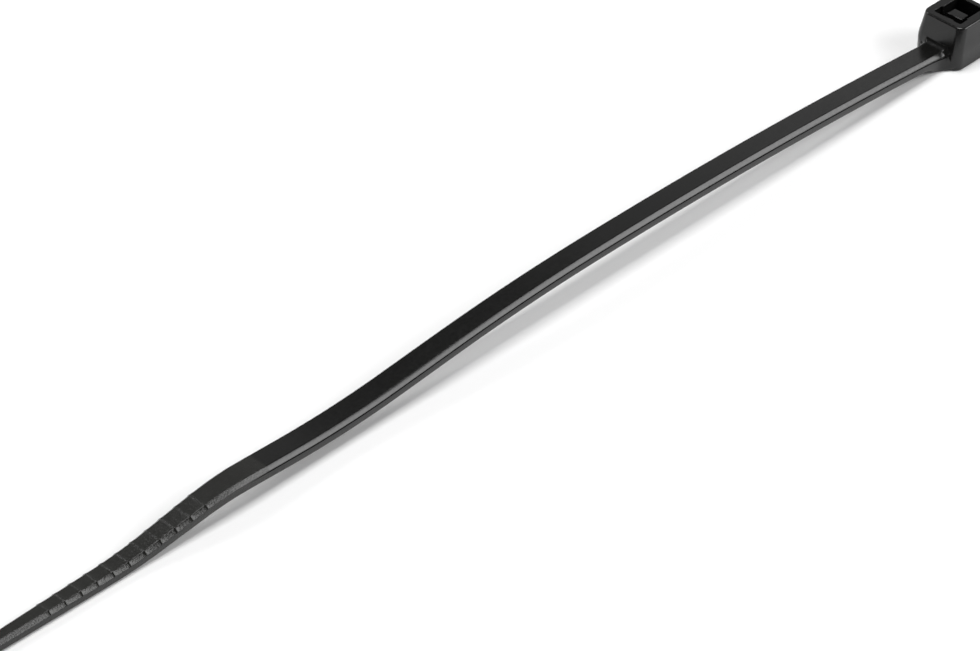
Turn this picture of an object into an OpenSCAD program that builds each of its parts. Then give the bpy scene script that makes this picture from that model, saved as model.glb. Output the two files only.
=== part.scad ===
// Self-locking cable tie, moulded in one piece, lying teeth down with its strap slightly arched.
// It lies along X with its head towards +X. The origin is on the table under the middle of its length.

/* [Strap] */
// Length of the strap, from its tail tip to the foot of the head's front face
strap_l = 145.4; // [110:0.1:190]
// Width of the strap
strap_w = 3.3; // [2.7:0.05:4.2]
// Thickness of the toothed strap
strap_t = 1.5; // [1.2:0.05:1.9]
// Width of the bevel along each upper edge
bevel_w = 0.42; // [0.2:0.01:0.5]
// Drop of the bevel along each upper edge
bevel_h = 0.42; // [0.15:0.01:0.5]
// Chamfer along each lower edge
under_chamfer = 0.15; // [0.05:0.01:0.25]

/* [Tail] */
// Length of the matte tail, from its tip to the smooth strap
tail_l = 39; // [32:0.5:48]
// Thickness of the tail's end
tail_t = 1.25; // [0.9:0.05:1.5]
// Length of the evenly thin end of the tail
thin_l = 18; // [12:0.5:30]
// Length over which the tail tapers
taper_l = 36; // [20:0.5:38]
// Width of the tail next to its rounded tip
tip_w = 1.75; // [1.4:0.05:2.6]
// Number of grip ribs across the tail
rib_count = 11; // [3:1:13]
// Pitch of the grip ribs
rib_pitch = 2.06; // [1.6:0.01:2.3]
// Distance from the tail tip to the first rib
rib_start = 10.1; // [6:0.1:12]
// Height of a grip rib over the tail
rib_h = 0.1; // [0.05:0.01:0.3]
// Radius of a grip rib's round top
rib_r = 0.3; // [0.2:0.01:0.5]

/* [Teeth] */
// Pitch of the ratchet teeth
tooth_pitch = 1.1; // [0.8:0.05:1.5]
// Depth of the ratchet teeth
tooth_h = 0.5; // [0.3:0.05:0.7]
// Width of the smooth rail on each side of the teeth
rail_w = 0.5; // [0.4:0.05:0.8]
// How far the tooth tips stay above the rails' lower faces
tip_recess = 0.06; // [0.03:0.01:0.15]
// Plain strap between the last tooth and the head
plain_l = 6; // [4:0.5:12]

/* [Head] */
// Length of the head along the strap
head_l = 6.8; // [6.2:0.1:8]
// Width of the head at its top
head_w = 6; // [5.6:0.1:7.5]
// Height of the head
head_h = 5.4; // [4.8:0.1:6.5]
// Radius of the head's upright corners
head_corner = 1; // [0.6:0.05:1.3]
// How far each side leans out, from the top down to the shoulder
head_flare = 0.28; // [0.1:0.02:0.5]
// How far the front leans out, from the top down to the shoulder
front_lean = 0.75; // [0.5:0.05:1.1]
// How far the rear leans out, from the top down to the shoulder
rear_lean = 0.25; // [0.1:0.05:0.4]
// Height of the shoulder, under which the head's sides stand upright
shoulder_z = 2.5; // [2:0.1:3.2]
// Chamfer round the head's top and bottom edges
head_chamfer = 0.15; // [0.05:0.01:0.25]
// Wall between the front face and the opening, at the top
front_wall = 0.88; // [0.6:0.02:1.1]
// Wall between the slot and the rear face, at the top
rear_wall = 0.7; // [0.6:0.02:1.1]
// Size of the bevelled mouth under the slot
mouth = 0.3; // [0.1:0.05:0.4]
// Clearance of the slot beside each edge of the strap
slot_gap = 0.12; // [0.08:0.01:0.25]
// Extra width of the pawl's chamber on each side, over the slot
chamber_step = 0.2; // [0.1:0.01:0.3]

/* [Pawl] */
// Distance from the chamber's front wall to the pawl's tip block
pawl_back = 1.35; // [1.2:0.05:1.8]
// Thickness of the pawl's tip block
pawl_t = 1.3; // [0.8:0.02:1.2]
// Side clearance between the pawl and the strap's rails
pawl_gap = 0.15; // [0.1:0.01:0.3]
// How far the pawl's tip lies under the head's top
pawl_drop = 0.5; // [0.3:0.05:0.8]
// Height of the pawl's root over the head's bottom
hinge_z = 1.2; // [0.9:0.05:1.5]
// Thickness of the pawl's hinge
hinge_t = 0.75; // [0.5:0.05:0.9]
// Number of teeth on the pawl
pawl_teeth = 3; // [2:1:3]
// Depth of the pawl's teeth
pawl_tooth_h = 0.34; // [0.2:0.02:0.4]

/* [Neck] */
// Length of the web under the strap, next to the head
neck_l = 3; // [2:0.1:5]
// Length of the neck's flared foot, next to the head
foot_l = 1.2; // [0.6:0.1:1.8]
// How much wider the flared foot is at the head than the strap
foot_flare = 2.2; // [0.6:0.05:2.6]
// Radius of the corner between the strap's top and the head
root_r = 0.7; // [0.3:0.05:1]

/* [Hidden] */

black_nylon = [0.105, 0.105, 0.1];

// The strap's bends from its tail tip to the head: a length, and the degrees turned over it.
// The lengths are shares, and are scaled to the strap's length.
bend_plan = [
    [17.5, 0],  // tail, flat on the table
    [6.5, 8.6], // lifts off
    [6.5, 0],   // rises
    [6.5, -11], // sharp set where the tail meets the strap
    [6, 0],
    [14.5, 7.3], // low point
    [8, 0],
    [22, -4.9], // crown
    [57.9, -5]  // long fall to the head
];
bend_count = len(bend_plan);
share_sum = ([for (row = bend_plan) 1] * bend_plan)[0];

// Steps of the swept strap, and of its round tip
step_l = 1.2;
tip_steps = 5;
tip_first_angle = 24;
round_fn = 48;
corner_steps = 8; // sides of a round corner of the head
embed = 0.5;     // how far one feature reaches into another
overcut = 1;     // how far a cut runs past a face
thickening = 2;  // length over which the tail thickens into the strap
neck_gap = 0.1;  // clearance under the neck, so that the head's own bottom carries it

// ---- The strap's path: X along the table and Z above it, at its top face ----

function bend_length(i) = bend_plan[i][0] * strap_l / share_sum;

// Chord of an arc of length l that starts at angle a and turns by t degrees
function chord(l, a, t) =
    (abs(t) < 0.001 ? l : 360 * l / (PI * t) * sin(t / 2)) * [cos(a + t / 2), sin(a + t / 2)];

bend_starts = [for (i = 0, s = 0; i <= bend_count; s = s + (i < bend_count ? bend_length(i) : 0), i = i + 1) s];
bend_angles = [for (i = 0, a = 0; i <= bend_count; a = a + (i < bend_count ? bend_plan[i][1] : 0), i = i + 1) a];
bend_points = [
    for (
        i = 0, p = [0, tail_t];
        i <= bend_count;
        p = p + (i < bend_count ? chord(bend_length(i), bend_angles[i], bend_plan[i][1]) : [0, 0]), i = i + 1
    ) p
];

// The bend that holds the place s along the strap
function bend_at(s, i = 0) = (i >= bend_count - 1 || s < bend_starts[i + 1]) ? i : bend_at(s, i + 1);

// Past the last bend the strap runs on straight, into the head.
function turned(s, i) = bend_plan[i][1] * min(s - bend_starts[i], bend_length(i)) / bend_length(i);
function path_angle(s) = let (i = bend_at(s)) bend_angles[i] + turned(s, i);
function path_point(s) =
    let (
        i = bend_at(s),
        inside = min(s - bend_starts[i], bend_length(i)),
        past = max(s - strap_l, 0)
    )
    bend_points[i] + chord(inside, bend_angles[i], turned(s, i)) + past * [cos(path_angle(s)), sin(path_angle(s))];

// A place under the top face, at depth d
function under(s, d) = path_point(s) + d * [sin(path_angle(s)), -cos(path_angle(s))];

// ---- The strap's section ----

tip_r = tip_w / 2;
function taper_half(s) = tip_r + (strap_w - tip_w) / 2 * min(s / taper_l, 1);
function tip_round(s) = s < tip_r ? sqrt(1 - pow(1 - s / tip_r, 2)) : 1;
function half_width(s) = taper_half(s) * tip_round(s);
function thickness(s) = tail_t + (strap_t - tail_t) * min(max((s - thin_l) / (tail_l + thickening - thin_l), 0), 1);

function section(s) =
    let (
        h = half_width(s),
        b = min(bevel_w, h * 0.45),
        t = thickness(s),
        row = [[h - b, 0], [h, bevel_h], [h, t - under_chamfer], [h - under_chamfer, t]]
    )
    concat([for (p = row) p], [for (k = [len(row) - 1:-1:0]) [-row[k].x, row[k].y]]);

// Places of the swept sections: close together round the tip, then evenly up to the head's wall
tip_places = [
    for (k = [0:tip_steps]) tip_r * (1 - cos(tip_first_angle + (90 - tip_first_angle) * k / tip_steps))
];
strap_end = strap_l + embed;
step_count = ceil((strap_end - tip_r) / step_l);
strap_places = concat(tip_places, [for (k = [1:step_count]) tip_r + (strap_end - tip_r) * k / step_count]);

// ---- Where the head stands ----

head_x = bend_points[bend_count].x;
join_z = bend_points[bend_count].y;
tip_x = tip_places[0];
middle_x = (tip_x + head_x + head_l) / 2;
chamber_x = head_x + front_lean + front_wall;
slot_end_x = head_x + head_l - rear_lean - rear_wall;
slot_half = strap_w / 2 + slot_gap;
chamber_half = slot_half + chamber_step;
pawl_half = strap_w / 2 - rail_w - pawl_gap;
tip_back_x = chamber_x + pawl_back;
tip_front_x = tip_back_x + pawl_t;
slot_x = tip_back_x - 0.1;
pawl_top = head_h - pawl_drop;

// A closed solid through a list of rings, each with as many points as the last
module loft(rings) {
    n = len(rings[0]);
    last = len(rings) - 1;
    faces = concat(
        [[for (j = [n - 1:-1:0]) j]],
        [
            for (i = [0:last - 1], j = [0:n - 1])
                let (k = (j + 1) % n)
                [i * n + j, i * n + k, (i + 1) * n + k, (i + 1) * n + j]
        ],
        [[for (j = [0:n - 1]) last * n + j]]
    );
    polyhedron(points = [for (ring = rings) each ring], faces = faces, convexity = 10);
}

module strap_blank() {
    rings = [for (s = strap_places) [for (q = section(s)) let (p = under(s, q.y)) [p.x, q.x, p.y]]];
    color(black_nylon) loft(rings);
}

// The space between the ratchet teeth: each tooth rises slowly towards the head and ends in a steep face
module tooth_track() {
    first = tail_l + thickening;
    count = floor((strap_l - plain_l - first) / tooth_pitch);
    root = strap_t - tooth_h;
    tip = strap_t - tip_recess;
    teeth = [
        for (k = [0:count - 1])
            let (s = first + k * tooth_pitch)
            each [under(s, root), under(s + 0.72 * tooth_pitch, tip), under(s + 0.88 * tooth_pitch, tip)]
    ];
    last = first + count * tooth_pitch;
    outline = concat(teeth, [under(last, root), [under(last, root).x, -overcut], [teeth[0].x, -overcut]]);
    color(black_nylon)
        translate([0, strap_w / 2 - rail_w, 0])
            rotate([90, 0, 0])
                linear_extrude(strap_w - 2 * rail_w)
                    polygon(outline);
}

// Round ribs across the tail's top, as long as the tail is wide there
module grip_ribs() {
    for (k = [0:rib_count - 1]) {
        s = rib_start + k * rib_pitch;
        centre = under(s, rib_r - rib_h);
        half = half_width(s) - bevel_w / 2;
        color(black_nylon)
            translate([centre.x, half, centre.y])
                rotate([90, 0, 0])
                    cylinder(r = rib_r, h = 2 * half, $fn = round_fn);
    }
}

// The head's outline at height z, drawn in by inset all round, with round corners
function head_ring(z, inset) =
    let (
        up = max(z - shoulder_z, 0) / (head_h - shoulder_z),
        x0 = head_x + front_lean * up + inset,
        x1 = head_x + head_l - rear_lean * up - inset,
        y1 = head_w / 2 + head_flare * (1 - up) - inset,
        r = head_corner - inset
    )
    [
        for (corner = [3:-1:0], k = [corner_steps:-1:0])
            let (
                a = 90 * (corner + k / corner_steps),
                x = (corner == 0 || corner == 3) ? x1 - r : x0 + r,
                y = corner < 2 ? y1 - r : r - y1
            )
            [x + r * cos(a), y + r * sin(a), z]
    ];

module head_shell() {
    color(black_nylon)
        loft([
            head_ring(0, head_chamfer),
            head_ring(head_chamfer, 0),
            head_ring(shoulder_z, 0),
            head_ring(head_h - head_chamfer, 0),
            head_ring(head_h, head_chamfer)
        ]);
}

// The slot for the strap, open at both ends, and the pawl's chamber in front of it, open at the top
module head_cavity() {
    color(black_nylon) {
        translate([slot_x, -slot_half, -overcut])
            cube([slot_end_x - slot_x, 2 * slot_half, head_h + 2 * overcut]);
        translate([chamber_x, -chamber_half, hinge_z + hinge_t])
            cube([pawl_back, 2 * chamber_half, head_h + overcut - hinge_z - hinge_t]);
        lead_in();
    }
}

// Bevelled mouth under the slot, where the tail is fed in: both bevels lie at 45 degrees
module lead_in() {
    low = mouth + overcut;
    translate([0, slot_half + mouth / 2, 0])
        rotate([90, 0, 0])
            linear_extrude(2 * slot_half + mouth)
                polygon([
                    [slot_x - low, -overcut],
                    [slot_x + mouth, 2 * mouth],
                    [slot_end_x - mouth, 2 * mouth],
                    [slot_end_x + low, -overcut]
                ]);
}

// The pawl: a tongue hinged low on the front wall, with teeth towards the slot
module pawl() {
    reach_x = tip_front_x - 0.2;
    foot = [reach_x - 0.55, hinge_z + 0.25];
    top = [reach_x, pawl_top - 0.35];
    rise = (top - foot) / pawl_teeth;
    teeth = [
        for (k = [0:pawl_teeth - 1])
            let (p = foot + k * rise)
            each [p, p + 0.2 * rise + [pawl_tooth_h, 0]]
    ];
    outline = concat(
        [[chamber_x - embed, hinge_z + 0.05], [chamber_x + 0.6, hinge_z]],
        teeth,
        [
            top,
            [tip_front_x, pawl_top - 0.2],
            [tip_front_x, pawl_top],
            [tip_back_x, pawl_top],
            [tip_back_x - 0.15, pawl_top - 1.1],
            [chamber_x + 0.5, hinge_z + hinge_t + 0.25],
            [chamber_x - embed, hinge_z + hinge_t + 0.1]
        ]
    );
    color(black_nylon)
        translate([0, pawl_half, 0])
            rotate([90, 0, 0])
                linear_extrude(2 * pawl_half)
                    polygon(outline);
}

// A small stop on the chamber's front wall, behind the pawl
module back_stop() {
    stop_w = 1.5;
    stop_reach = 0.35;
    stop_top = head_h - 0.2;
    color(black_nylon)
        translate([0, stop_w / 2, 0])
            rotate([90, 0, 0])
                linear_extrude(stop_w)
                    polygon([
                        [chamber_x - embed, stop_top - 1],
                        [chamber_x, stop_top - 1],
                        [chamber_x + stop_reach, stop_top - 0.6],
                        [chamber_x + stop_reach, stop_top],
                        [chamber_x - embed, stop_top]
                    ]);
}

// A thin upright slab of the neck, w wide and from z0 to z1
module neck_slab(x, w, z0, z1) {
    translate([x, -w / 2, z0])
        cube([0.1, w, z1 - z0]);
}

// The web that carries the strap down into the bottom of the head, and flares out to meet it
module neck() {
    low = under(strap_l - neck_l, strap_t);
    mid_z = join_z - strap_t / 2;
    top_z = join_z - bevel_h - 0.1;
    color(black_nylon)
        hull() {
            neck_slab(low.x, strap_w - 0.3, low.y + 0.1, mid_z);
            neck_slab(head_x - foot_l, strap_w + 0.1, neck_gap, top_z);
            neck_slab(head_x + embed, strap_w + foot_flare, neck_gap, top_z);
        }
}

// The hollow corner between the strap's top face and the head's front face
module root_corner() {
    half = strap_w / 2 - bevel_w * 0.6;
    base = [head_x, join_z - 0.05];
    centre = base + [-root_r, root_r];
    arc = [for (a = [-90:15:0]) centre + root_r * [cos(a), sin(a)]];
    color(black_nylon)
        translate([0, half, 0])
            rotate([90, 0, 0])
                linear_extrude(2 * half)
                    polygon(concat(
                        [base + [-root_r, -0.2]],
                        arc,
                        [base + [embed, root_r], base + [embed, -0.2]]
                    ));
}

module cable_tie() {
    translate([-middle_x, 0, 0]) {
        difference() {
            strap_blank();
            tooth_track();
        }
        grip_ribs();
        neck();
        root_corner();
        difference() {
            head_shell();
            head_cavity();
        }
        pawl();
        back_stop();
    }
}

cable_tie();
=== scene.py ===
"""Looks of a one-piece moulded cable tie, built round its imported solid.

The tie lies along X with its head towards +X. Pieces are drawn in millimetres, then scaled to metres.
"""

import math
from contextlib import contextmanager

import bmesh
import bpy
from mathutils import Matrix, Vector


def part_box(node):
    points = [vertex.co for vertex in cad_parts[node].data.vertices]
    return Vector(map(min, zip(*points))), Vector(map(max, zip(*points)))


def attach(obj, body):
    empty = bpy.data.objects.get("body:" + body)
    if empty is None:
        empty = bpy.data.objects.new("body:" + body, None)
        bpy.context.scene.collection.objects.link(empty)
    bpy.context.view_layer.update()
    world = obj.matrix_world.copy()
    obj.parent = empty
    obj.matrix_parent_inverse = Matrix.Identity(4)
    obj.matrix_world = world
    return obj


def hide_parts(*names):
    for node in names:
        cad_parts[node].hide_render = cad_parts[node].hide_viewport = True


bl_info = {
    "name": "Cable tie",
    "version": (1, 0, 0),
    "blender": (4, 5, 0),
    "location": "View3D > Sidebar > Cable Tie",
    "description": "Builds a moulded nylon cable tie with its strap, ribbed tail, head and pawl",
    "category": "Object",
}

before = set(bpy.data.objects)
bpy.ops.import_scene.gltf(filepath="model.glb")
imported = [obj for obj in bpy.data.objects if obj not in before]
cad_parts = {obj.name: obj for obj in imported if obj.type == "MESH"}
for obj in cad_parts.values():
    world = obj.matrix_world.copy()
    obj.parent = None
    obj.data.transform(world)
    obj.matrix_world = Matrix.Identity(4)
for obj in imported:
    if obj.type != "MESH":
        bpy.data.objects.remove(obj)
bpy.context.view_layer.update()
TIE_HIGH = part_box("cable_tie")[1]

MM = 0.001
NEAR = 0.004  # how close two places count as the same, in mm
MERGE = 0.0005  # how close two vertices are merged, in mm

# The strap's bends from tail tip to head: a length in mm, and the degrees turned over it
BEND_PLAN = (
    (17.5, 0.0),
    (6.5, 8.6),
    (6.5, 0.0),
    (6.5, -11.0),
    (6.0, 0.0),
    (14.5, 7.3),
    (8.0, 0.0),
    (22.0, -4.9),
    (57.9, -5.0),
)


# ---------------------------------------------------------------- sizes and colours


def size(name, mm, description):
    """A length property that is stated in millimetres."""
    return bpy.props.FloatProperty(
        name=name, description=description, default=mm * MM, min=0.0, precision=5, unit="LENGTH"
    )


class TIE_PG_strap(bpy.types.PropertyGroup):
    """Sizes of the strap and the tail"""

    width: size("Width", 3.3, "Width of the strap")
    thickness: size("Thickness", 1.5, "Thickness of the toothed strap")
    bevel_width: size("Bevel width", 0.42, "Width of the bevel along each upper edge")
    bevel_drop: size("Bevel drop", 0.42, "Drop of the bevel along each upper edge")
    crown_radius: size("Crown edge", 0.05, "Rounding between the top face and the bevel")
    bevel_foot: size("Bevel foot", 0.025, "Rounding between the bevel and the side wall")
    groove_width: size("Groove width", 0.14, "Width of the fine groove along each side under the bevel")
    groove_depth: size("Groove depth", 0.14, "Depth of the fine groove under the bevel")
    under_radius: size("Under edge", 0.25, "Rounding between the side wall and the underside")
    tooth_pitch: size("Tooth pitch", 1.1, "Pitch of the ratchet teeth")
    tooth_depth: size("Tooth depth", 0.5, "Depth of the ratchet teeth")
    tooth_count: bpy.props.IntProperty(name="Teeth", description="Number of ratchet teeth", default=89, min=1)
    rail: size("Rail", 0.5, "Width of the smooth rail on each side of the teeth")
    tip_recess: size("Tooth recess", 0.06, "How far the tooth tips stay above the rails' lower faces")
    tail_length: size("Tail length", 39.0, "Length of the matte tail")
    tail_thickness: size("Tail thickness", 1.25, "Thickness of the tail's end")
    thin_length: size("Thin length", 18.0, "Length of the evenly thin end of the tail")
    taper_length: size("Taper length", 36.0, "Length over which the tail tapers")
    tip_width: size("Tip width", 1.75, "Width of the tail next to its round tip")
    rib_count: bpy.props.IntProperty(name="Ribs", description="Number of grip ribs", default=11, min=1)
    rib_pitch: size("Rib pitch", 2.06, "Pitch of the grip ribs")
    rib_start: size("First rib", 10.1, "Distance from the tail tip to the first rib")
    rib_height: size("Rib height", 0.06, "Height of a grip rib over the tail")


class TIE_PG_head(bpy.types.PropertyGroup):
    """Sizes of the head, its cavity and its pawl"""

    length: size("Length", 6.8, "Length of the head along the strap")
    corner: size("Corner", 1.0, "Radius of the head's upright corners")
    flare: size("Side flare", 0.28, "How far each side leans out below its top")
    front_lean: size("Front lean", 0.75, "How far the front leans out below its top")
    rear_lean: size("Rear lean", 0.25, "How far the rear leans out below its top")
    shoulder: size("Shoulder", 2.5, "Height under which the sides stand upright")
    shoulder_round: size("Shoulder round", 0.45, "Softness of the shoulder line")
    rim_round: size("Rim round", 0.2, "Rounding of the top and bottom edges")
    mouth_round: size("Opening round", 0.07, "Rounding of the opening's top edge")
    front_wall: size("Front wall", 0.88, "Wall in front of the opening")
    rear_wall: size("Rear wall", 0.7, "Wall behind the slot")
    slot_gap: size("Slot gap", 0.12, "Clearance beside each edge of the strap")
    chamber_step: size("Chamber step", 0.2, "Extra width of the chamber on each side")
    chamber_floor: size("Chamber floor", 1.95, "Height of the chamber's floor")
    pawl_back: size("Pawl back", 1.35, "Distance from the front wall to the pawl's tip block")
    pawl_thickness: size("Pawl tip", 1.3, "Thickness of the pawl's tip block")
    pawl_width: size("Pawl width", 2.0, "Width of the pawl")
    pawl_drop: size("Pawl drop", 0.5, "How far the pawl's tip lies under the rim")
    pawl_round: size("Pawl round", 0.09, "Rounding of the pawl's top edges")


class TIE_PG_finish(bpy.types.PropertyGroup):
    """Colours and gloss of the moulded nylon"""

    nylon: bpy.props.StringProperty(name="Nylon", description="Colour of the black nylon", default="#0E0E0E")
    nylon_pale: bpy.props.StringProperty(
        name="Nylon, pale", description="Colour of its slightly paler flow marks", default="#131312"
    )
    tail: bpy.props.StringProperty(name="Tail", description="Colour of the matte tail", default="#1A1A18")
    tail_pale: bpy.props.StringProperty(name="Tail, pale", description="Its paler specks", default="#20201E")
    gloss_roughness: bpy.props.FloatProperty(
        name="Gloss roughness", description="Roughness of the smooth strap", default=0.21, min=0.0, max=1.0
    )
    matte_roughness: bpy.props.FloatProperty(
        name="Matte roughness", description="Roughness of the spark-eroded tail", default=0.25, min=0.0, max=1.0
    )
    grain: size("Grain", 0.2, "Width of the spark-eroded grain")
    floor: bpy.props.StringProperty(name="Floor", description="Colour of the floor", default="#F4F4F4")


class TIE_PG_stage(bpy.types.PropertyGroup):
    """Camera and lights"""

    lens: bpy.props.FloatProperty(name="Lens", description="Focal length in mm", default=165.3, min=1.0)
    key: bpy.props.FloatProperty(name="Key", description="Power of the broad light overhead", default=4.2, min=0.0)
    side: bpy.props.FloatProperty(name="Side", description="Power of the soft box at the side", default=3.0, min=0.0)
    back: bpy.props.FloatProperty(name="Back", description="Power of the soft box behind", default=1.4, min=0.0)
    room: bpy.props.FloatProperty(name="Room", description="Brightness of the room near the floor", default=1.0)


def settings():
    return bpy.context.scene.cable_tie


def mm(length):
    """A length property in millimetres."""
    return length / MM


# ---------------------------------------------------------------- modelling tools


def select_only(piece):
    bpy.ops.object.select_all(action="DESELECT")
    piece.select_set(True)
    bpy.context.view_layer.objects.active = piece


def block(name, low, high):
    """A box between two corners, as a start for a shape."""
    bpy.ops.object.select_all(action="DESELECT")
    low, high = Vector(low), Vector(high)
    bpy.ops.mesh.primitive_cube_add(size=1, location=(low + high) / 2, scale=high - low)
    piece = bpy.context.object
    piece.name = piece.data.name = name
    bpy.ops.object.transform_apply(location=True, rotation=True, scale=True)
    return piece


@contextmanager
def shaping(piece):
    """Edit mode on one piece."""
    select_only(piece)
    bpy.ops.object.mode_set(mode="EDIT")
    yield
    bpy.ops.object.mode_set(mode="OBJECT")


def parts_of(bm, kind):
    return {"VERT": bm.verts, "EDGE": bm.edges, "FACE": bm.faces}[kind]


def pick(kind, test):
    """Selects the vertices, edges or faces that pass the test."""
    bpy.ops.mesh.select_mode(type=kind)
    bpy.ops.mesh.select_all(action="DESELECT")
    mesh = bpy.context.object.data
    bm = bmesh.from_edit_mesh(mesh)
    found = [part for part in parts_of(bm, kind) if test(part)]
    if not found:
        raise RuntimeError(f"nothing to shape on {bpy.context.object.name}")
    for part in found:
        part.select = True
    bm.select_flush_mode()
    bmesh.update_edit_mesh(mesh, loop_triangles=False, destructive=False)


def move(x=0.0, y=0.0, z=0.0):
    bpy.ops.transform.translate(value=(x, y, z))


def cut(place, normal):
    """Cuts the whole piece along a plane, and keeps both sides."""
    bpy.ops.mesh.select_all(action="SELECT")
    bpy.ops.mesh.bisect(plane_co=place, plane_no=normal, threshold=1e-5)


def round_off(width, segments, profile=0.5):
    bpy.ops.mesh.bevel(offset=width, offset_type="OFFSET", segments=segments, profile=profile, affect="EDGES")


def middle(edge):
    return (edge.verts[0].co + edge.verts[1].co) / 2


def runs_along(edge, axis):
    way = edge.verts[1].co - edge.verts[0].co
    return abs(way[axis]) > 0.98 * way.length


def at(value, place):
    return abs(value - place) < NEAR


def on(value, *places):
    return any(at(value, place) for place in places)


def lies_at(height):
    """Test for the edges that lie at this height."""
    return lambda edge: all(at(vertex.co.z, height) for vertex in edge.verts)


def draw_out(distance):
    bpy.ops.mesh.extrude_region_move(TRANSFORM_OT_translate={"value": (distance, 0, 0)})


def form(wanted, shape):
    """Moves each wanted vertex of the piece in edit mode to where shape puts it."""
    mesh = bpy.context.object.data
    bm = bmesh.from_edit_mesh(mesh)
    for vertex in bm.verts:
        if wanted(vertex.co):
            vertex.co = shape(*vertex.co)
    bmesh.update_edit_mesh(mesh)


def apply_boolean(piece, other, operation):
    """Joins or cuts with another piece, and takes that one away."""
    select_only(piece)
    tool = piece.modifiers.new(operation.title(), "BOOLEAN")
    tool.operation = operation
    tool.solver = "EXACT"
    tool.object = other
    bpy.ops.object.modifier_apply(modifier=tool.name)
    bpy.data.objects.remove(other)


def blend(table, place):
    """The value at a place, from a table of places and values, in straight lines."""
    if place <= table[0][0]:
        return table[0][1]
    for (x0, y0), (x1, y1) in zip(table, table[1:]):
        if place <= x1:
            return y0 + (y1 - y0) * (place - x0) / (x1 - x0)
    return table[-1][1]


def sign(value):
    return math.copysign(1.0, value)


# ---------------------------------------------------------------- the strap's path


def strap_length():
    return sum(length for length, turn in BEND_PLAN)


def path_place(s, start_height):
    """Place of the top face at s along the strap, before the tie is centred, and its angle."""
    x, z, angle = 0.0, start_height, 0.0
    left = s
    for i, (length, turn) in enumerate(BEND_PLAN):
        last = i == len(BEND_PLAN) - 1
        run = min(left, length)
        part = math.radians(turn) * run / length
        chord = run if abs(part) < 1e-9 else 2 * run / part * math.sin(part / 2)
        x += chord * math.cos(angle + part / 2)
        z += chord * math.sin(angle + part / 2)
        angle += part
        left -= run
        if left <= 0 and not last:
            return x, z, angle
    return x + left * math.cos(angle), z + left * math.sin(angle), angle


def head_front():
    """X of the foot of the head's front face, in mm."""
    return mm(TIE_HIGH.x) - mm(settings().head.length)


# ---------------------------------------------------------------- the strap


GROOVE_LIP = 0.03  # side wall left between the bevel and the groove, in mm
TOOTH_CREST = (0.72, 0.88)  # where a tooth's flat crest starts and ends, as shares of the pitch
TAIL_END = 2.0  # plain strap between the matte tail and the first tooth, in mm


def add_tooth_pitch(sizes):
    """One pitch of the strap, open at both ends, with one ratchet tooth underneath."""
    pitch, width, thick = mm(sizes.tooth_pitch), mm(sizes.width), mm(sizes.thickness)
    bevel, drop, depth = mm(sizes.bevel_width), mm(sizes.bevel_drop), mm(sizes.tooth_depth)
    half, track = width / 2, width / 2 - mm(sizes.rail)
    groove_top = -drop - GROOVE_LIP
    groove_foot = groove_top - mm(sizes.groove_width)
    crest = [share * pitch for share in TOOTH_CREST]

    def closes_end(face):
        return abs(face.normal.x) > 0.9

    def in_groove(face):
        return abs(face.normal.y) > 0.99 and groove_foot < face.calc_center_median().z < groove_top

    def in_track(face):
        centre = face.calc_center_median()
        return face.normal.z < -0.9 and at(centre.z, -thick) and abs(centre.y) < track

    def round_long_edges(y, z, width, segments):
        pick("EDGE", lambda e: runs_along(e, 0) and at(abs(middle(e).y), y) and at(middle(e).z, z))
        round_off(width, segments)

    unit = block("strap_pitch", (0, -half, -thick), (pitch, half, 0))
    with shaping(unit):
        pick("FACE", closes_end)
        bpy.ops.mesh.delete(type="FACE")
        round_long_edges(half, 0, bevel, 1)
        pick("VERT", lambda v: at(v.co.z, -bevel))
        move(z=bevel - drop)
        for y in (-track, 0, track):
            cut((0, y, 0), (0, 1, 0))
        for z in (groove_top, groove_foot):
            cut((0, 0, z), (0, 0, 1))
        pick("FACE", in_groove)
        bpy.ops.mesh.extrude_region_shrink_fatten(TRANSFORM_OT_shrink_fatten={"value": -mm(sizes.groove_depth)})
        pick("FACE", in_track)
        bpy.ops.mesh.extrude_region_move(TRANSFORM_OT_translate={"value": (0, 0, depth)})
        pick("FACE", closes_end)
        bpy.ops.mesh.delete(type="FACE")
        for x in crest:
            cut((x, 0, 0), (1, 0, 0))
        pick("VERT", lambda v: on(v.co.x, *crest) and at(v.co.z, depth - thick))
        move(z=mm(sizes.tip_recess) - depth)
        round_long_edges(half - bevel, 0, mm(sizes.crown_radius), 2)
        round_long_edges(half, -drop, mm(sizes.bevel_foot), 2)
        round_long_edges(half, -thick, mm(sizes.under_radius), 3)
    return unit


def repeat_pitch(unit, sizes):
    """The toothed stretch: the pitch repeated, with its rings merged."""
    select_only(unit)
    row = unit.modifiers.new("Pitches", "ARRAY")
    row.count = sizes.tooth_count
    row.use_relative_offset = False
    row.use_constant_offset = True
    row.constant_offset_displace = (mm(sizes.tooth_pitch), 0, 0)
    row.use_merge_vertices = True
    row.merge_threshold = MERGE
    bpy.ops.object.modifier_apply(modifier=row.name)


def close_track(place, track, depth_edge):
    """Closes the toothed recess where the teeth end, and leaves the section's outline selected."""
    pick("EDGE", lambda e: e.is_boundary and at(middle(e).x, place) and abs(middle(e).y) < track + NEAR
         and middle(e).z < depth_edge)
    bpy.ops.mesh.edge_face_add()
    pick("EDGE", lambda e: e.is_boundary and at(middle(e).x, place))


def draw_rings(start, places):
    """Draws the selected outline out from ring to ring, and returns the place of the last one."""
    for place in places:
        draw_out(place - start)
        start = place
    return start


def rib_places(sizes):
    return [mm(sizes.rib_start) + k * mm(sizes.rib_pitch) for k in range(sizes.rib_count)]


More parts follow.
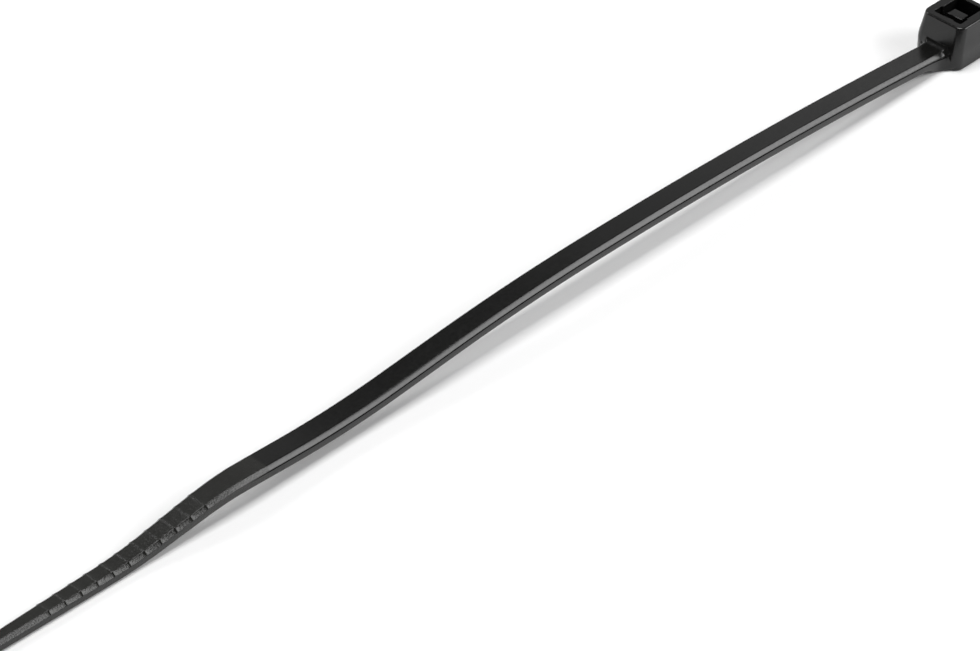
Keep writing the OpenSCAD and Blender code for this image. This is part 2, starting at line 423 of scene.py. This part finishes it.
# A rib's form along the strap: distance from its crest towards the head in mm, its share of the height,
# and how far it fills the bevels beside it
RIB_FORM = (
    (-0.5, 0.0, 0.0), (-0.3, 0.0, 0.03), (-0.14, 0.0, 0.07), (-0.09, 0.3, 0.09), (-0.04, 0.9, 0.1), (0.0, 1.0, 0.1),
    (0.07, 0.95, 0.09), (0.14, 0.6, 0.07), (0.3, 0.22, 0.04), (0.7, 0.0, 0.0)
)
TIP_PLACES = (8.0, 6.9, 5.8, 4.7, 3.6, 2.6, 1.7, 0.97)  # rings past the last rib, from the tip's end in mm


def tail_rings(sizes, first):
    """Places of the tail's rings, from the toothed stretch down to the round tip."""
    tail, taper = mm(sizes.tail_length), mm(sizes.taper_length)
    places = [first - 0.5, first - 1.2, tail + 0.04, tail, tail - 1.4, taper, taper - 1.3, taper - 2.6]
    for crest in reversed(rib_places(sizes)):
        places += [crest + x for x, share, fill in reversed(RIB_FORM)]
    places += TIP_PLACES
    return places


def tail_shape(sizes, first):
    """How the plain section is narrowed, thinned and ribbed along the tail."""
    half, tip = mm(sizes.width) / 2, mm(sizes.tip_width) / 2
    thick, thinner = mm(sizes.thickness), mm(sizes.thickness) - mm(sizes.tail_thickness)
    taper, thin = mm(sizes.taper_length), mm(sizes.thin_length)
    bevel, drop, rise = mm(sizes.bevel_width), mm(sizes.bevel_drop), mm(sizes.rib_height)
    ribs = rib_places(sizes)
    rib_rise = [(x, share) for x, share, fill in RIB_FORM]
    rib_fill = [(x, fill) for x, share, fill in RIB_FORM]
    groove_foot = -drop - 0.2
    run_out = ((1.2, 0.0), (4.2, 1.0))  # how far the groove has run out, by distance before the teeth
    sliver = 0.12  # what stays of a bevel that a rib fills

    def shape(s, y, z):
        edge = tip + (half - tip) * min(s / taper, 1.0)
        if abs(y) > 0.3:
            y -= sign(y) * (half - edge)
        if z < -thick / 2:
            z += thinner * min((first - s) / (first - thin), 1.0)
        if abs(y) > 0.6 and groove_foot < z < -drop - 0.02:
            y += sign(y) * (edge - abs(y)) * blend(run_out, first - s)
        if z > groove_foot:
            away = min((s - crest for crest in ribs), key=abs)
            fall = min(max(-z, 0.0) / drop, 1.0)
            fill = blend(rib_fill, away)
            if abs(y) > edge - bevel - 0.1:
                y += sign(y) * fill * (bevel - sliver) * (1 - fall)
            z += blend(rib_rise, away) * rise
            if abs(y) > edge - 0.3:
                z += fill * (drop - sliver) * fall
        return s, y, z

    return shape


# The neck's rings, by distance past the foot of the head's front face in mm, and how its form changes there
NECK_PLACES = (-5.6, -4.8, -4.0, -3.4, -2.9, -2.4, -2.0, -1.6, -1.25, -1.0, -0.8, -0.62, -0.46, -0.33,
               -0.22, -0.13, -0.06, 0.0, 0.07, 0.16, 0.3, 0.5)
WEB_BOTTOM = ((-4.0, 9.0), (-3.4, 1.0), (-2.9, 0.86), (-2.4, 0.62), (-2.0, 0.42), (-1.6, 0.24), (-1.25, 0.12),
              (-1.0, 0.06), (0.6, 0.04))
FOOT_FLARE = ((-2.4, 0.0), (-1.6, 0.03), (-1.25, 0.08), (-1.0, 0.18), (-0.62, 0.4), (-0.22, 0.7), (0.07, 0.95),
              (0.3, 1.1), (0.5, 1.15))
CROWN_RISE = ((-0.8, 0.0), (-0.62, 0.02), (-0.46, 0.05), (-0.33, 0.1), (-0.22, 0.17), (-0.13, 0.25), (-0.06, 0.36),
              (0.0, 0.5), (0.07, 0.68), (0.5, 0.9))
CROWN_FLARE = ((-0.8, 0.0), (-0.46, 0.04), (-0.22, 0.14), (-0.13, 0.22), (-0.06, 0.32), (0.0, 0.42), (0.07, 0.55),
               (0.5, 0.75))


def neck_shape(sizes):
    """How the section sinks to the table and flares out where it meets the head."""
    half, thick, drop = mm(sizes.width) / 2, mm(sizes.thickness), mm(sizes.bevel_drop)
    reach = strap_length()
    top = path_place(reach, mm(sizes.tail_thickness))
    slope = -math.tan(top[2])

    def shape(s, y, z):
        past = s - reach
        low = min(max((-z - drop) / (thick - drop), 0.0), 1.0)  # 0 at the bevel's foot, 1 at the underside
        deeper = max((top[1] - past * slope - blend(WEB_BOTTOM, past)) / math.cos(top[2]) - thick, 0.0)
        rise = blend(CROWN_RISE, past) * (1 - low) * (1.0 if z > -drop / 2 else 0.75)
        wide = blend(CROWN_FLARE, past) * (1 - low) + blend(FOOT_FLARE, past) * min(low * 1.6, 1.0)
        return s, y * (1 + wide / half), z + rise - low * deeper

    return shape


def bend_along_path(piece, sizes):
    """Bends the straight strap along its lying shape with a curve, and sets it in its place."""
    path_length, spacing = strap_length() + 3, 0.5
    steps = int(path_length / spacing)
    curve = bpy.data.curves.new("strap_path", "CURVE")
    curve.dimensions = "3D"
    curve.twist_mode = "Z_UP"
    line = curve.splines.new("POLY")
    line.points.add(steps)
    for i, point in enumerate(line.points):
        x, z, angle = path_place(i * path_length / steps, mm(sizes.tail_thickness))
        point.co = (x, 0, z, 1)
    path = bpy.data.objects.new("strap_path", curve)
    bpy.context.scene.collection.objects.link(path)
    select_only(piece)
    bend = piece.modifiers.new("Path", "CURVE")
    bend.object = path
    bend.deform_axis = "POS_X"
    bpy.ops.object.modifier_apply(modifier=bend.name)
    bpy.data.objects.remove(path)
    piece.location.x = head_front() - path_place(strap_length(), 0.0)[0]
    bpy.ops.object.transform_apply(location=True, rotation=True, scale=True)


def close_tip(centre):
    """Turns the last ring's outline half round the tip's centre, and closes the strap's skin."""
    pick("EDGE", lambda e: e.is_boundary and at(middle(e).x, centre) and middle(e).y > 0)
    bpy.ops.mesh.spin(steps=10, angle=-math.pi, center=(centre, 0, 0), axis=(0, 0, 1))
    bpy.ops.mesh.select_all(action="SELECT")
    bpy.ops.mesh.remove_doubles(threshold=MERGE)
    bpy.ops.mesh.dissolve_degenerate(threshold=0.0001)
    pick("EDGE", lambda e: e.is_boundary)
    bpy.ops.mesh.edge_face_add()
    bpy.ops.mesh.select_all(action="SELECT")
    bpy.ops.mesh.normals_make_consistent(inside=False)


class TIE_OT_strap(bpy.types.Operator):
    """Model the strap with its teeth, its ribbed tail and its neck"""

    bl_idname = "tie.strap"
    bl_label = "Strap"

    def execute(self, context):
        sizes = context.scene.cable_tie.strap
        first = mm(sizes.tail_length) + TAIL_END
        last = first + sizes.tooth_count * mm(sizes.tooth_pitch)
        track = mm(sizes.width) / 2 - mm(sizes.rail)
        recess_edge = mm(sizes.tooth_depth) - mm(sizes.thickness) + NEAR
        strap = add_tooth_pitch(sizes)
        repeat_pitch(strap, sizes)
        strap.name = strap.data.name = "strap"
        strap.location.x = first
        bpy.ops.object.transform_apply(location=True, rotation=True, scale=True)
        with shaping(strap):
            close_track(first, track, recess_edge)
            tip_centre = draw_rings(first, tail_rings(sizes, first))
            close_track(last, track, recess_edge)
            draw_rings(last, [strap_length() + distance for distance in NECK_PLACES])
            bpy.ops.mesh.edge_face_add()
            form(lambda co: co.x < first - NEAR, tail_shape(sizes, first))
            form(lambda co: co.x > last + NEAR, neck_shape(sizes))
            close_tip(tip_centre)
        strap.data.materials.append(glossy_nylon())
        strap.data.materials.append(matte_nylon())
        for face in strap.data.polygons:
            face.material_index = int(face.center.x < mm(sizes.tail_length))
        bend_along_path(strap, sizes)
        return {"FINISHED"}


# ---------------------------------------------------------------- the head


class HeadPlaces:
    """Where the head's walls and its pawl stand, in mm."""

    def __init__(self):
        sizes = settings().head
        strap = settings().strap
        self.front = head_front()
        self.rear = mm(TIE_HIGH.x)
        self.top = mm(TIE_HIGH.z)
        self.half = mm(TIE_HIGH.y)
        self.chamber = self.front + mm(sizes.front_lean) + mm(sizes.front_wall)
        self.slot_end = self.rear - mm(sizes.rear_lean) - mm(sizes.rear_wall)
        self.slot_half = mm(strap.width) / 2 + mm(sizes.slot_gap)
        self.chamber_half = self.slot_half + mm(sizes.chamber_step)
        self.tip_back = self.chamber + mm(sizes.pawl_back)
        self.slot = self.tip_back - 0.1  # a little inside the chamber, so that the two cuts overlap


def add_head_shell(places, sizes):
    """The head's outside: leaning walls over an upright foot, with round corners."""
    shell = block("head", (places.front, -places.half, 0), (places.rear, places.half, places.top))
    shoulder = mm(sizes.shoulder)
    centre_x = (places.front + places.rear) / 2
    with shaping(shell):
        cut((0, 0, shoulder), (0, 0, 1))
        pick("VERT", lambda v: at(v.co.z, places.top) and v.co.x < centre_x)
        move(x=mm(sizes.front_lean))
        pick("VERT", lambda v: at(v.co.z, places.top) and v.co.x > centre_x)
        move(x=-mm(sizes.rear_lean))
        for side in (-1, 1):
            pick("VERT", lambda v: at(v.co.z, places.top) and v.co.y * side > 0)
            move(y=-side * mm(sizes.flare))
        pick("EDGE", lambda e: abs(e.verts[0].co.z - e.verts[1].co.z) > 1)
        round_off(mm(sizes.corner), 8)
        pick("EDGE", lies_at(shoulder))
        round_off(mm(sizes.shoulder_round), 5)
        pick("EDGE", lies_at(places.top))
        round_off(mm(sizes.rim_round), 4)
        pick("EDGE", lies_at(0))
        round_off(mm(sizes.rim_round), 3)
    return shell


def cut_cavity(shell, places, sizes):
    """The slot, open at both ends, and the wider chamber in front of it."""
    slot_corner, chamber_corner, lead_in = 0.2, 0.22, 0.3
    under, floor, over = -1, mm(sizes.chamber_floor), places.top + 1
    slot = block("slot", (places.slot, -places.slot_half, under), (places.slot_end, places.slot_half, over))
    with shaping(slot):
        pick("EDGE", lambda e: runs_along(e, 2))
        round_off(slot_corner, 4)
    chamber = block(
        "chamber", (places.chamber, -places.chamber_half, floor), (places.tip_back, places.chamber_half, over)
    )
    with shaping(chamber):
        pick("EDGE", lambda e: runs_along(e, 2) and middle(e).x < places.slot)
        round_off(chamber_corner, 4)
    apply_boolean(shell, slot, "DIFFERENCE")
    apply_boolean(shell, chamber, "DIFFERENCE")

    def in_opening(vertex):
        inside_x = places.chamber - NEAR < vertex.co.x < places.slot_end + NEAR
        return inside_x and abs(vertex.co.y) < places.chamber_half + NEAR

    def bounds_cavity(edge, height):
        beside_wall = any(abs(face.normal.z) < 0.5 for face in edge.link_faces)
        return lies_at(height)(edge) and all(map(in_opening, edge.verts)) and beside_wall

    with shaping(shell):
        pick("EDGE", lambda e: bounds_cavity(e, places.top))
        round_off(mm(sizes.mouth_round), 3)
        pick("EDGE", lambda e: bounds_cavity(e, 0))
        round_off(lead_in, 1)


def pawl_outline(places, sizes):
    """The pawl's outline from its root up: height, then how far its back and its toothed face stand
    behind the chamber's front wall, in mm."""
    floor, top = mm(sizes.chamber_floor), places.top - mm(sizes.pawl_drop)
    back, tip = mm(sizes.pawl_back), mm(sizes.pawl_back) + mm(sizes.pawl_thickness)
    block_z = top - 0.35  # foot of the plain block over the teeth
    foot, foot_z, lean = tip - 0.75, 1.45, 0.55  # where the teeth start, and how far their row leans to the slot
    teeth, height, flank = 3, 0.34, 0.2  # a tooth's lower flank takes this share of its step
    step, step_z = lean / teeth, (block_z - foot_z) / teeth
    faces = [(1.3, 0.6)]
    for k in range(teeth):
        crest = k + flank
        faces += [(foot_z + k * step_z, foot + k * step), (foot_z + crest * step_z, foot + crest * step + height)]
    faces += [(block_z, tip - 0.2), (top - 0.2, tip), (top, tip)]
    backs = [(floor + 0.1, -0.3), (floor + 0.25, 0.5), (top - 1.1, back - 0.15), (block_z, back - 0.02), (top, back)]
    heights = sorted({z for z, x in faces + backs})
    return [(z, blend(backs, z), blend(faces, z)) for z in heights]


def add_pawl(places, sizes):
    """The pawl: a tongue hinged low on the front wall, with teeth towards the slot."""
    half = mm(sizes.pawl_width) / 2
    outline = pawl_outline(places, sizes)
    low, high = outline[0][0], outline[-1][0]
    pawl = block("pawl", (places.chamber - 1, -half, low), (places.chamber + 3, half, high))
    backs = [(z, back) for z, back, face in outline]
    faces = [(z, face) for z, back, face in outline]

    def shape(x, y, z):
        return places.chamber + blend(backs if x < places.chamber else faces, z), y, z

    with shaping(pawl):
        for z, back, face in outline[1:-1]:
            cut((0, 0, z), (0, 0, 1))
        form(lambda co: True, shape)
        pick("EDGE", lies_at(high))
        round_off(mm(sizes.pawl_round), 3)
    return pawl


def add_back_stop(places):
    """A small stop on the chamber's front wall, behind the pawl."""
    top, height, half, reach, taper = places.top - 0.2, 1, 0.75, 0.35, 0.3
    low = (places.chamber - taper, -half, top - height)
    stop = block("back_stop", low, (places.chamber + reach, half, top))
    with shaping(stop):
        pick("VERT", lambda v: at(v.co.z, top - height) and v.co.x > places.chamber)
        move(x=-taper, z=taper)
        pick("EDGE", lambda e: middle(e).x > places.chamber)
        round_off(0.06, 2)
    return stop


class TIE_OT_head(bpy.types.Operator):
    """Model the hollow head with its chamber, its slot and its back stop"""

    bl_idname = "tie.head"
    bl_label = "Head"

    def execute(self, context):
        sizes = context.scene.cable_tie.head
        places = HeadPlaces()
        shell = add_head_shell(places, sizes)
        cut_cavity(shell, places, sizes)
        apply_boolean(shell, add_back_stop(places), "UNION")
        return {"FINISHED"}


class TIE_OT_pawl(bpy.types.Operator):
    """Model the toothed pawl and join it to the head"""

    bl_idname = "tie.pawl"
    bl_label = "Pawl"

    def execute(self, context):
        pawl = add_pawl(HeadPlaces(), context.scene.cable_tie.head)
        apply_boolean(bpy.data.objects["head"], pawl, "UNION")
        return {"FINISHED"}


SMOOTH_ANGLE = 40  # faces that meet at less than this, in degrees, shade as one


class TIE_OT_moulding(bpy.types.Operator):
    bl_idname = "tie.moulding"
    bl_label = "One moulding"

    def execute(self, context):
        head, moulding = bpy.data.objects["head"], bpy.data.objects["strap"]
        for material in moulding.data.materials:
            head.data.materials.append(material)
        apply_boolean(moulding, head, "UNION")
        moulding.name = moulding.data.name = "cable_tie_moulding"
        select_only(moulding)
        moulding.scale = (MM, MM, MM)
        bpy.ops.object.transform_apply(location=True, rotation=True, scale=True)
        bpy.ops.object.shade_smooth_by_angle(angle=math.radians(SMOOTH_ANGLE))
        flats = moulding.modifiers.new("Flat faces", "WEIGHTED_NORMAL")
        flats.keep_sharp = True
        flats.weight = 80  # large flat faces keep their normals beside small roundings
        bpy.ops.object.modifier_apply(modifier=flats.name)
        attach(moulding, "root")
        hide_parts("cable_tie")
        return {"FINISHED"}


# ---------------------------------------------------------------- finishes


NYLON_IOR = 1.45


def linear(code):
    """A linear colour from an sRGB hex code."""
    channels = (int(code.lstrip("#")[i : i + 2], 16) / 255 for i in (0, 2, 4))
    return tuple(c / 12.92 if c <= 0.04045 else ((c + 0.055) / 1.055) ** 2.4 for c in channels) + (1.0,)


def add_node(tree, kind, inputs=None, **values):
    """Adds a node, sets its properties, and sets or links its inputs."""
    node = tree.nodes.new(kind)
    for name, value in values.items():
        setattr(node, name, value)
    for name, value in (inputs or {}).items():
        if isinstance(value, bpy.types.NodeSocket):
            tree.links.new(value, node.inputs[name])
        else:
            node.inputs[name].default_value = value
    return node


def new_finish(name):
    material = bpy.data.materials.new(name)
    material.use_nodes = True
    material.node_tree.nodes.clear()
    return material, material.node_tree


def mixed(tree, share, first, second):
    """A colour that goes from the first to the second with a share from 0 to 1."""
    mix = add_node(tree, "ShaderNodeMix", {"Factor": share, "A": first, "B": second}, data_type="RGBA")
    return mix.outputs["Result"]


def skin(tree, colour, roughness, bump):
    """The nylon's surface, which bends light alike in every finish."""
    shader = add_node(
        tree,
        "ShaderNodeBsdfPrincipled",
        {"Base Color": colour, "Roughness": roughness, "IOR": NYLON_IOR, "Normal": bump.outputs["Normal"]},
    )
    add_node(tree, "ShaderNodeOutputMaterial", {"Surface": shader.outputs["BSDF"]})


def per_metre(width_mm):
    """Noise scale at which one blob is about this wide."""
    return 1000.0 / width_mm


def glossy_nylon():
    """Nylon 6/6 moulded in a polished tool: black, with a wet sheen and faint flow waves along the strap."""
    name = "moulded_black_nylon_gloss"
    if name in bpy.data.materials:
        return bpy.data.materials[name]
    finish = settings().finish
    material, tree = new_finish(name)
    place = add_node(tree, "ShaderNodeTexCoord").outputs["Object"]
    flow = add_node(tree, "ShaderNodeMapping", {"Vector": place, "Scale": (0.25, 1.0, 1.0)}).outputs["Vector"]
    waves = add_node(tree, "ShaderNodeTexNoise", {"Vector": flow, "Scale": per_metre(1.6), "Detail": 2.0})
    peel = add_node(tree, "ShaderNodeTexNoise", {"Vector": place, "Scale": per_metre(0.35), "Detail": 2.0})
    tone = mixed(tree, waves.outputs["Fac"], linear(finish.nylon), linear(finish.nylon_pale))
    dull = add_node(
        tree,
        "ShaderNodeMapRange",
        {
            "Value": peel.outputs["Fac"],
            "From Min": 0.3,
            "From Max": 0.7,
            "To Min": finish.gloss_roughness - 0.03,
            "To Max": finish.gloss_roughness + 0.05,
        },
    )
    bump = add_node(
        tree, "ShaderNodeBump", {"Height": peel.outputs["Fac"], "Strength": 0.1, "Distance": 0.00001}
    )
    skin(tree, tone, dull.outputs["Result"], bump)
    return material


def matte_nylon():
    """The same nylon moulded in a spark-eroded tool: a fine grain that breaks up its highlights.

    The real grain is finer than this one, which is drawn just coarse enough to show.
    """
    name = "moulded_black_nylon_spark_eroded"
    if name in bpy.data.materials:
        return bpy.data.materials[name]
    finish = settings().finish
    material, tree = new_finish(name)
    place = add_node(tree, "ShaderNodeTexCoord").outputs["Object"]
    grain = add_node(
        tree,
        "ShaderNodeTexNoise",
        {"Vector": place, "Scale": per_metre(mm(finish.grain)), "Detail": 3.0, "Roughness": 0.6},
    )
    tone = mixed(tree, grain.outputs["Fac"], linear(finish.tail), linear(finish.tail_pale))
    bump = add_node(
        tree, "ShaderNodeBump", {"Height": grain.outputs["Fac"], "Strength": 0.7, "Distance": 0.00005}
    )
    skin(tree, tone, finish.matte_roughness, bump)
    return material


# ---------------------------------------------------------------- the stage


def add_soft_box(name, place, target, width, height, power):
    """A rectangular soft light that faces its target."""
    light = bpy.data.lights.new(name, "AREA")
    light.shape = "RECTANGLE"
    light.size, light.size_y, light.energy = width, height, power
    lamp = bpy.data.objects.new(name, light)
    bpy.context.scene.collection.objects.link(lamp)
    lamp.location = place
    lamp.rotation_euler = (Vector(target) - Vector(place)).to_track_quat("-Z", "Y").to_euler()
    return lamp


def share_of(tree, value, low, high):
    """How far a value has come from low to high, as a smooth step from 0 to 1."""
    step = add_node(
        tree, "ShaderNodeMapRange", {"Value": value, "From Min": low, "From Max": high}, interpolation_type="SMOOTHSTEP"
    )
    return step.outputs["Result"]


def facing(tree, way, target):
    """How directly a way looks at a target."""
    dot = add_node(tree, "ShaderNodeVectorMath", operation="DOT_PRODUCT")
    tree.links.new(way, dot.inputs[0])
    dot.inputs[1].default_value = target
    return dot.outputs["Value"]


def light_room(brightness):
    """A dim studio room with a pale band low down behind the tie."""
    world = bpy.data.worlds.new("studio")
    bpy.context.scene.world = world
    world.use_nodes = True
    tree = world.node_tree
    tree.nodes.clear()
    way = add_node(tree, "ShaderNodeTexCoord").outputs["Generated"]
    axes = add_node(tree, "ShaderNodeSeparateXYZ", {"Vector": way}).outputs
    behind = (0.62, 0.78, 0.0)
    band = share_of(tree, facing(tree, way, behind), 0.1, 0.6)
    for low, high in ((0.3, 0.42), (0.66, 0.48)):  # the band's lower edge, then its upper one
        part = add_node(tree, "ShaderNodeMath", operation="MULTIPLY")
        tree.links.new(band, part.inputs[0])
        tree.links.new(share_of(tree, axes["Z"], low, high), part.inputs[1])
        band = part.outputs["Value"]
    dim, pale = (0.07, 0.07, 0.07, 1), (0.7, 0.7, 0.7, 1)
    glow = add_node(tree, "ShaderNodeBackground", {"Color": mixed(tree, band, dim, pale), "Strength": brightness})
    add_node(tree, "ShaderNodeOutputWorld", {"Surface": glow.outputs["Background"]})


def add_floor(code):
    """A pale, matte sheet a hair under the tie."""
    bpy.ops.object.select_all(action="DESELECT")
    bpy.ops.mesh.primitive_plane_add(size=6, location=(0, 0, -0.00002))
    floor = bpy.context.object
    floor.name = "floor"
    material, tree = new_finish("matte_paper")
    shader = add_node(
        tree, "ShaderNodeBsdfPrincipled", {"Base Color": linear(code), "Roughness": 0.9, "Specular IOR Level": 0.2}
    )
    add_node(tree, "ShaderNodeOutputMaterial", {"Surface": shader.outputs["BSDF"]})
    floor.data.materials.append(material)


def add_camera(lens):
    """The camera looks down on the tie from the tail's side, and cuts off both of its ends."""
    target, distance = Vector((-2.0, 1.65, 0.0)) * MM, 0.4796
    view = Vector((0.5593, 0.5550, -0.6158))
    camera_data = bpy.data.cameras.new("camera")
    camera_data.sensor_width = 36
    camera_data.lens = lens
    camera_data.clip_start = 0.01
    camera = bpy.data.objects.new("camera", camera_data)
    bpy.context.scene.collection.objects.link(camera)
    camera.location = target - view * distance
    camera.rotation_euler = view.to_track_quat("-Z", "Y").to_euler()
    bpy.context.scene.camera = camera


class TIE_OT_stage(bpy.types.Operator):
    """Set the floor, the camera and soft studio light"""

    bl_idname = "tie.stage"
    bl_label = "Stage"

    def execute(self, context):
        stage = context.scene.cable_tie.stage
        add_floor(context.scene.cable_tie.finish.floor)
        add_camera(stage.lens)
        light_room(stage.room)
        add_soft_box("key", (0.0, 0.08, 0.75), (0, 0, 0), 0.5, 0.36, stage.key)
        add_soft_box("side", (0.36, -0.42, 0.33), (0, 0, 0), 0.5, 0.3, stage.side)
        add_soft_box("back", (-0.1, 0.56, 0.42), (0, 0, 0), 0.34, 0.2, stage.back)
        context.scene.view_settings.view_transform = "Standard"
        return {"FINISHED"}


# ---------------------------------------------------------------- add-on


class TIE_PG_settings(bpy.types.PropertyGroup):
    """All settings of the tie"""

    strap: bpy.props.PointerProperty(type=TIE_PG_strap)
    head: bpy.props.PointerProperty(type=TIE_PG_head)
    finish: bpy.props.PointerProperty(type=TIE_PG_finish)
    stage: bpy.props.PointerProperty(type=TIE_PG_stage)


STEPS = (TIE_OT_strap, TIE_OT_head, TIE_OT_pawl, TIE_OT_moulding, TIE_OT_stage)


class TIE_PT_panel(bpy.types.Panel):
    """The tie's pieces and sizes"""

    bl_label = "Cable Tie"
    bl_space_type = "VIEW_3D"
    bl_region_type = "UI"
    bl_category = "Cable Tie"

    def draw(self, context):
        tie = settings()
        for step in STEPS:
            self.layout.operator(step.bl_idname)
        for group in (tie.strap, tie.head, tie.finish, tie.stage):
            box = self.layout.box()
            for name in group.bl_rna.properties.keys():
                if name not in ("rna_type", "name"):
                    box.prop(group, name)


CLASSES = (TIE_PG_strap, TIE_PG_head, TIE_PG_finish, TIE_PG_stage, TIE_PG_settings, *STEPS, TIE_PT_panel)


def register():
    for cls in CLASSES:
        bpy.utils.register_class(cls)
    bpy.types.Scene.cable_tie = bpy.props.PointerProperty(type=TIE_PG_settings)


def unregister():
    del bpy.types.Scene.cable_tie
    for cls in reversed(CLASSES):
        bpy.utils.unregister_class(cls)


def main():
    register()
    bpy.ops.tie.strap()
    bpy.ops.tie.head()
    bpy.ops.tie.pawl()
    bpy.ops.tie.moulding()
    bpy.ops.tie.stage()


if __name__ == "__main__":
    main()
